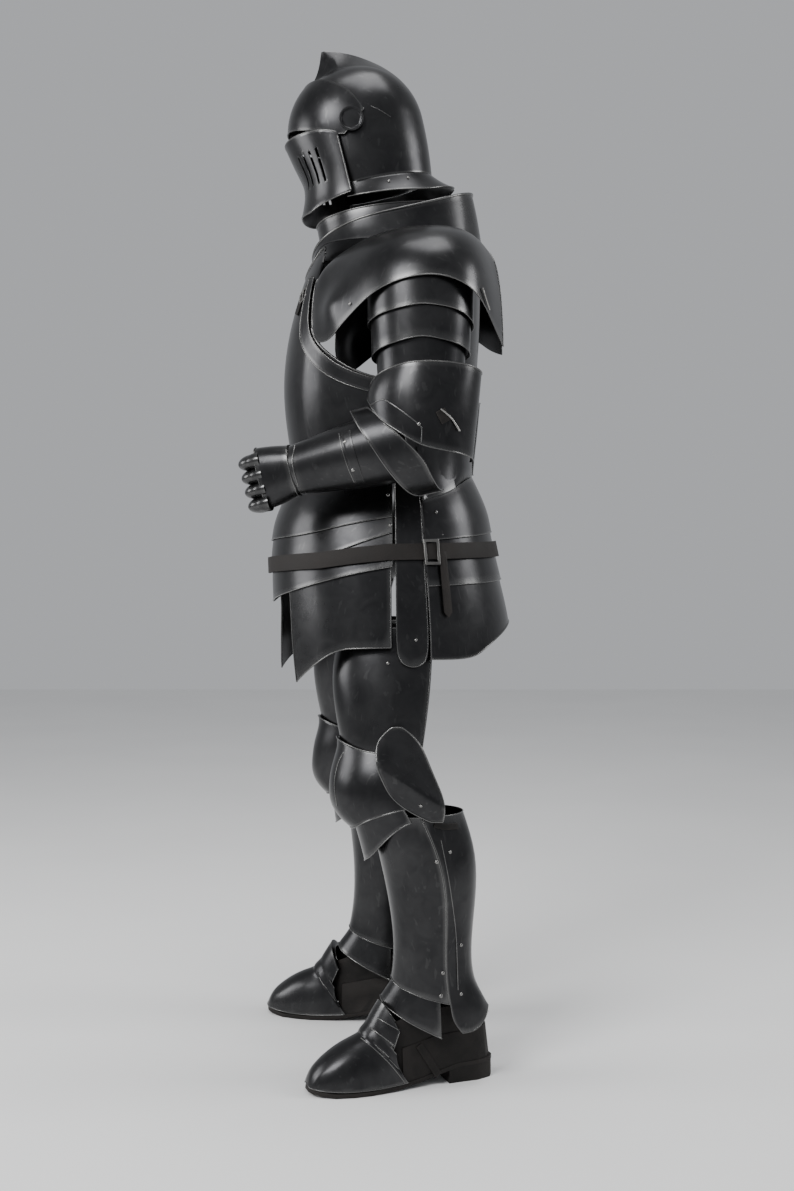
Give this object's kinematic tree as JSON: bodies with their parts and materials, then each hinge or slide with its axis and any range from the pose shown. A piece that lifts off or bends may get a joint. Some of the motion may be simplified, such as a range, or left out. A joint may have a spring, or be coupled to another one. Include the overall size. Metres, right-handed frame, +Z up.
{
  "type": "suit of plate armour",
  "caption": "Full suit of plate armour standing as worn, hollow and open for its wearer, with a hinged visor, overlapping lames, a belt and steel shoes.",
  "frame": {"origin": "midway between the shoulders of the wearer, who holds the suit up, 1455 mm above the soles", "axes": "+Z up, -Y the way the wearer faces, +X towards the wearer's left arm"},
  "size_m": [0.6846, 0.4724, 1.8174],
  "materials": {
    "black_steel": "blackened steel plate, satin, mottled and worn brighter at rims and rivets",
    "leather": "dark brown waxed leather",
    "bright_steel": "worn steel buckle"
  },
  "bodies": {
    "suit": {"breastplate": "black_steel", "backplate": "black_steel", "gusset_L": "black_steel", "gusset_R": "black_steel", "gorget": "black_steel", "collar": "black_steel", "fauld_1": "black_steel", "culet_1": "black_steel", "fauld_2": "black_steel", "culet_2": "black_steel", "fauld_3": "black_steel", "culet_3": "black_steel", "side_strip_L": "black_steel", "tasset_L": "black_steel", "side_strip_R": "black_steel", "tasset_R": "black_steel", "belt": "leather", "belt_buckle": "bright_steel", "helmet_skull": "black_steel", "helmet_neck_guard": "black_steel", "visor_pivot_L": "black_steel", "visor_pivot_R": "black_steel", "pauldron_L": "black_steel", "shoulder_lame_1_L": "black_steel", "shoulder_lame_2_L": "black_steel", "rerebrace_L": "black_steel", "couter_L": "black_steel", "couter_band_L": "black_steel", "vambrace_L": "black_steel", "gauntlet_hand_L": "black_steel", "gauntlet_fingers_L": "black_steel", "pauldron_R": "black_steel", "shoulder_lame_1_R": "black_steel", "shoulder_lame_2_R": "black_steel", "rerebrace_R": "black_steel", "couter_R": "black_steel", "couter_band_R": "black_steel", "vambrace_R": "black_steel", "gauntlet_hand_R": "black_steel", "gauntlet_fingers_R": "black_steel", "cuisse_L": "black_steel", "poleyn_L": "black_steel", "knee_lame_L": "black_steel", "greave_front_L": "black_steel", "greave_back_L": "black_steel", "ankle_plate_L": "black_steel", "poleyn_wing_L": "black_steel", "sabaton_L": "black_steel", "sabaton_sole_L": "leather", "cuisse_R": "black_steel", "poleyn_R": "black_steel", "knee_lame_R": "black_steel", "greave_front_R": "black_steel", "greave_back_R": "black_steel", "ankle_plate_R": "black_steel", "poleyn_wing_R": "black_steel", "sabaton_R": "black_steel", "sabaton_sole_R": "leather"},
    "visor": {"visor_brow": "black_steel", "visor_lower": "black_steel"}
  },
  "joints": [
    {"name": "visor_hinge", "type": "hinge", "parent": "suit", "child": "visor", "pos_m": [0, -0.0756, 0.214], "axis": [-1, 0, 0], "range_deg": [0, 17]}
  ]
}
